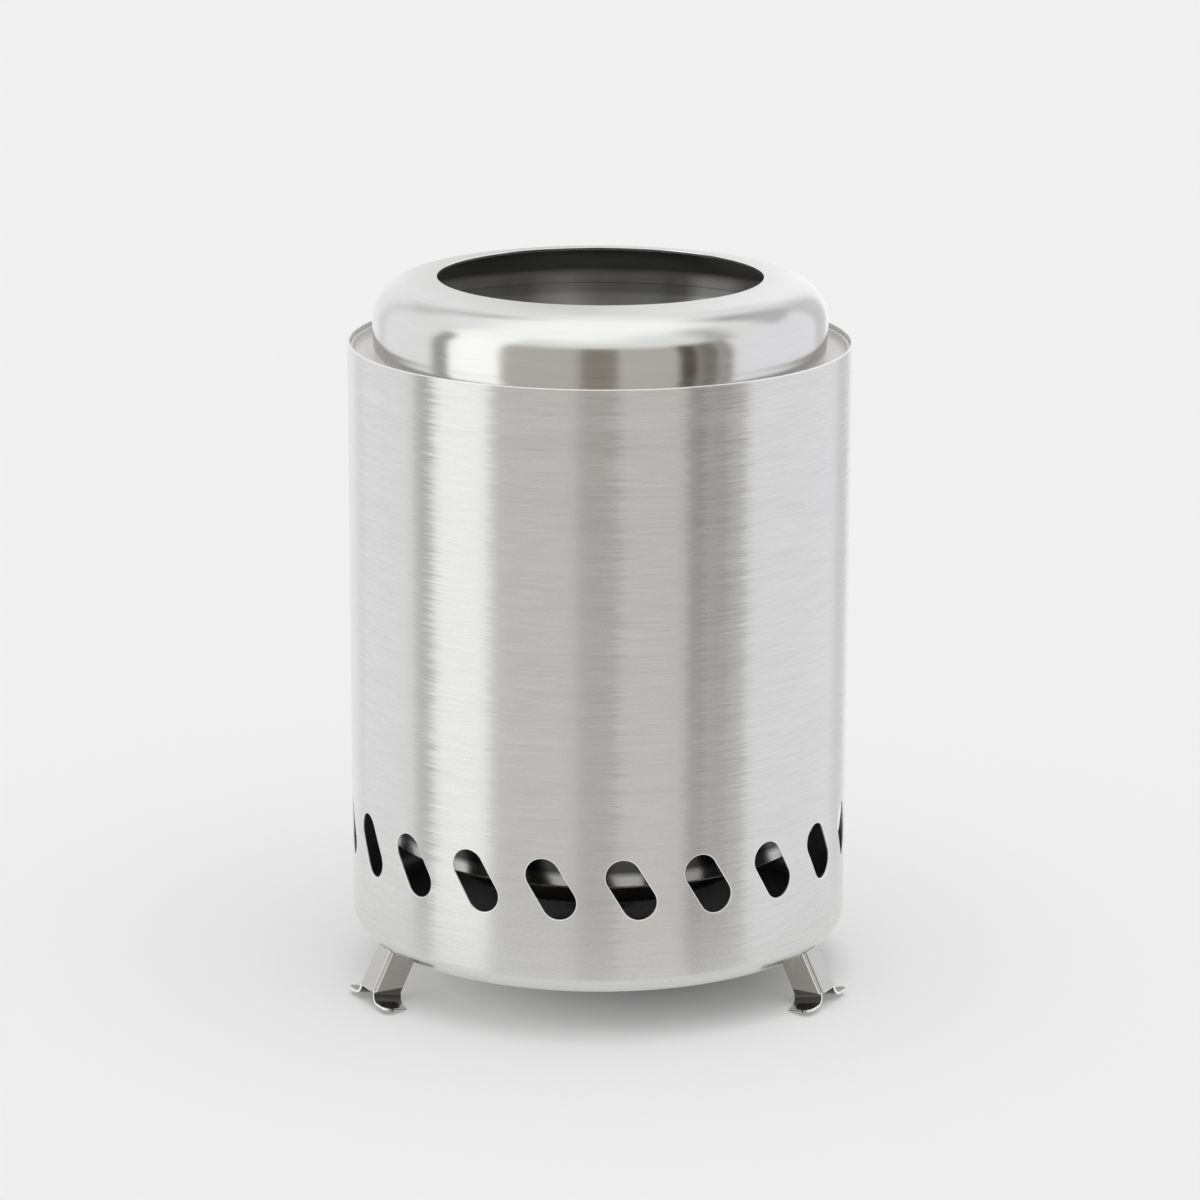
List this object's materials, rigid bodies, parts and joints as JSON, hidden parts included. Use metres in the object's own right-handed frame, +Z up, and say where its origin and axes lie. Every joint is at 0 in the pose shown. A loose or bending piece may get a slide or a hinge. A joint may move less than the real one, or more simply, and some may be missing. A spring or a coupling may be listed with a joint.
{
  "type": "twig stove",
  "caption": "Double-walled stainless steel twig stove with a lift-off domed flame ring, a wire grate, an ash pan and splayed channel legs.",
  "frame": {"origin": "the stove's axis at the level of the surface that the feet stand on", "axes": "+Z up along the stove's axis, -Y to the front, which faces away from the rear leg, +X to the right as seen from the front"},
  "size_m": [0.16, 0.1655, 0.2286],
  "materials": {
    "shell_steel": "brushed round the shell",
    "ring_steel": "fine satin, spun",
    "pot_steel": "plain mill finish",
    "leg_steel": "satin",
    "wire_steel": "drawn wire",
    "rivet_steel": "plain"
  },
  "bodies": {
    "stove": {"outer_shell": "shell_steel", "fire_pot": "pot_steel", "pot_floor": "pot_steel", "leg_left": "leg_steel", "leg_right": "leg_steel", "leg_rear": "leg_steel", "leg_rivets": "rivet_steel"},
    "flame_ring": {"flame_ring": "ring_steel", "ring_collar": "ring_steel"},
    "ash_pan": {"ash_pan": "pot_steel"},
    "grate": {"grate_rim": "wire_steel", "grate_runners": "wire_steel", "grate_bars": "wire_steel"}
  },
  "joints": [
    {"name": "flame_ring_lift", "type": "slide", "parent": "stove", "child": "flame_ring", "axis": [0, 0, 1], "range_m": [0, 0.06]},
    {"name": "ash_pan_lift", "type": "slide", "parent": "stove", "child": "ash_pan", "axis": [0, 0, 1], "range_m": [0, 0.215]},
    {"name": "grate_lift", "type": "slide", "parent": "ash_pan", "child": "grate", "axis": [0, 0, 1], "range_m": [0, 0.2]}
  ]
}
